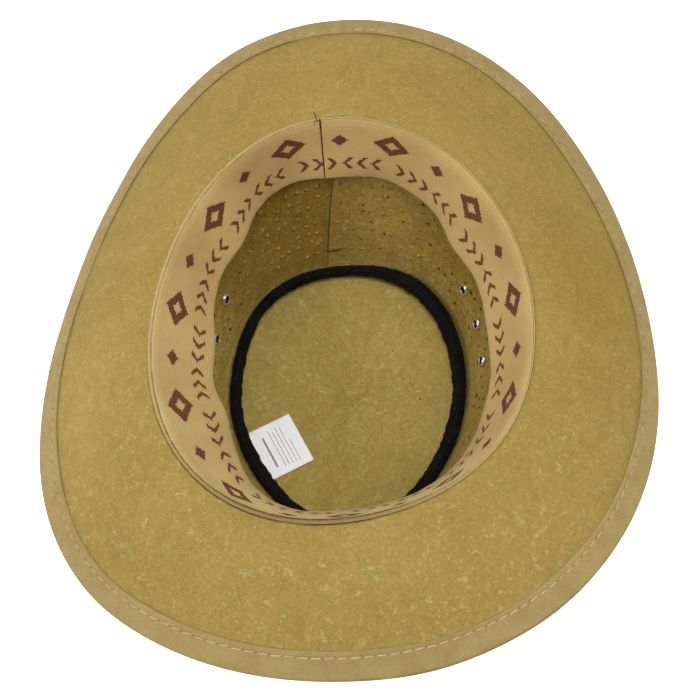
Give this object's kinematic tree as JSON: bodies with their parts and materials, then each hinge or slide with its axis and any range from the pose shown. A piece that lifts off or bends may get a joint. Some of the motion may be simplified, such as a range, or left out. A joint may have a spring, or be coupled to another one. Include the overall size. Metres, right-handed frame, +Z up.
{
  "type": "safari hat",
  "caption": "Wide-brimmed felt-cloth safari hat with curled sides, bound brim edge, inner sweatband and vent eyelets, lying upside down on its flat crown.",
  "frame": {"origin": "under the middle of the hat's outline, on the surface that its flat crown lies on", "axes": "+Z up out of the head opening, -Y towards the front of the hat, +X to the right as seen from the front in this upside-down pose"},
  "size_m": [0.2976, 0.3508, 0.1101],
  "materials": {
    "felt": "heathered olive-khaki felt cloth, matt, with pale flecks",
    "binding_tape": "tan woven tape, matt",
    "sweatband_cloth": "tan fine-ribbed woven band, matt",
    "seam_cord": "black knitted cord",
    "label_cloth": "white smooth label cloth",
    "eyelet_metal": "bright rolled metal"
  },
  "bodies": {
    "root": {"brim": "felt", "brim_binding": "binding_tape", "sweatband": "sweatband_cloth", "seam_binding": "seam_cord", "crown_tip": "felt", "crown_side": "felt", "label": "label_cloth", "eyelet_right_1": "eyelet_metal", "eyelet_right_2": "eyelet_metal", "eyelet_right_3": "eyelet_metal", "eyelet_left_1": "eyelet_metal", "eyelet_left_2": "eyelet_metal", "eyelet_left_3": "eyelet_metal"}
  },
  "joints": []
}
